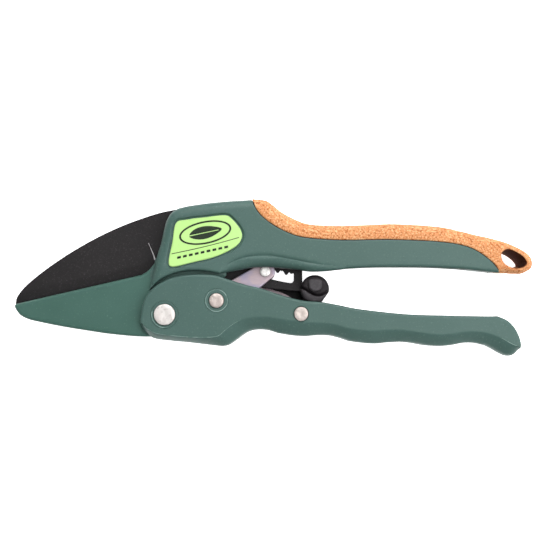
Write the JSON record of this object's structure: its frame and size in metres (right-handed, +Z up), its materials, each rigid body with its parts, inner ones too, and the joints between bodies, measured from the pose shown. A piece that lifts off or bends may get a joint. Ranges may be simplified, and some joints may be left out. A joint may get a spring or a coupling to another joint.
{
  "type": "ratchet anvil pruner",
  "caption": "Hand pruner with a coated blade closing on a flat anvil jaw, driven through a toothed ratchet link, with a cork-look grip, hang hole and thumb catch.",
  "frame": {"origin": "on the main pivot's axis, in the plane that the tool lies on", "axes": "+X along the handles away from the jaws, +Y from the lower handle towards the upper one, +Z up through the thickness"},
  "size_m": [0.2095, 0.0633, 0.0209],
  "materials": {
    "green_paint": "satin powder coat",
    "strip": "satin",
    "cork": "soft speckled cork look",
    "label": "gloss print",
    "blade_black": "matte non-stick coating",
    "zinc": "zinc plated, hammered",
    "link_steel": "satin",
    "dark_plastic": "matte",
    "pad_grey": "matte",
    "spring_steel": "drawn wire"
  },
  "bodies": {
    "upper": {"upper_handle": "green_paint", "anvil_strip": "strip", "cork_grip": "cork", "label_plate": "label", "blade_pivot_pin": "zinc", "main_pivot_rivet": "zinc", "pivot_washer_front": "green_paint", "pivot_washer_back": "green_paint", "return_spring": "spring_steel"},
    "lower": {"lower_handle": "green_paint", "link_rivet": "zinc", "link_washer_front": "green_paint", "link_washer_back": "green_paint", "catch_pin": "zinc", "catch_spring": "spring_steel", "link_spring": "spring_steel"},
    "blade": {"blade": "blade_black"},
    "link": {"link_plate_front": "link_steel", "link_plate_back": "link_steel", "link_pin": "zinc", "link_spacer_front": "zinc", "link_spacer_back": "zinc"},
    "catch": {"catch_lever": "dark_plastic", "thumb_button": "dark_plastic", "thumb_pad": "pad_grey", "catch_leaf": "link_steel"}
  },
  "joints": [
    {"name": "handle_pivot", "type": "hinge", "parent": "upper", "child": "lower", "pos_m": [0, 0, 0.01], "axis": [0, 0, -1], "range_deg": [0, 24]},
    {"name": "blade_pivot", "type": "hinge", "parent": "upper", "child": "blade", "pos_m": [0.014, 0.0266, 0.01], "axis": [0, 0, -1], "range_deg": [0, 22]},
    {"name": "link_pivot", "type": "hinge", "parent": "lower", "child": "link", "pos_m": [0.0206, 0.0056, 0.01], "axis": [0, 0, 1], "range_deg": [0, 6.2]},
    {"name": "catch_pivot", "type": "hinge", "parent": "lower", "child": "catch", "pos_m": [0.0543, 0.0003, 0.01], "axis": [0, 0, 1], "range_deg": [-12, 6]}
  ],
  "couplings": [
    {"joint": "blade_pivot", "follows": "handle_pivot", "ratio": 0.9},
    {"joint": "link_pivot", "follows": "handle_pivot", "ratio": 0.25}
  ]
}
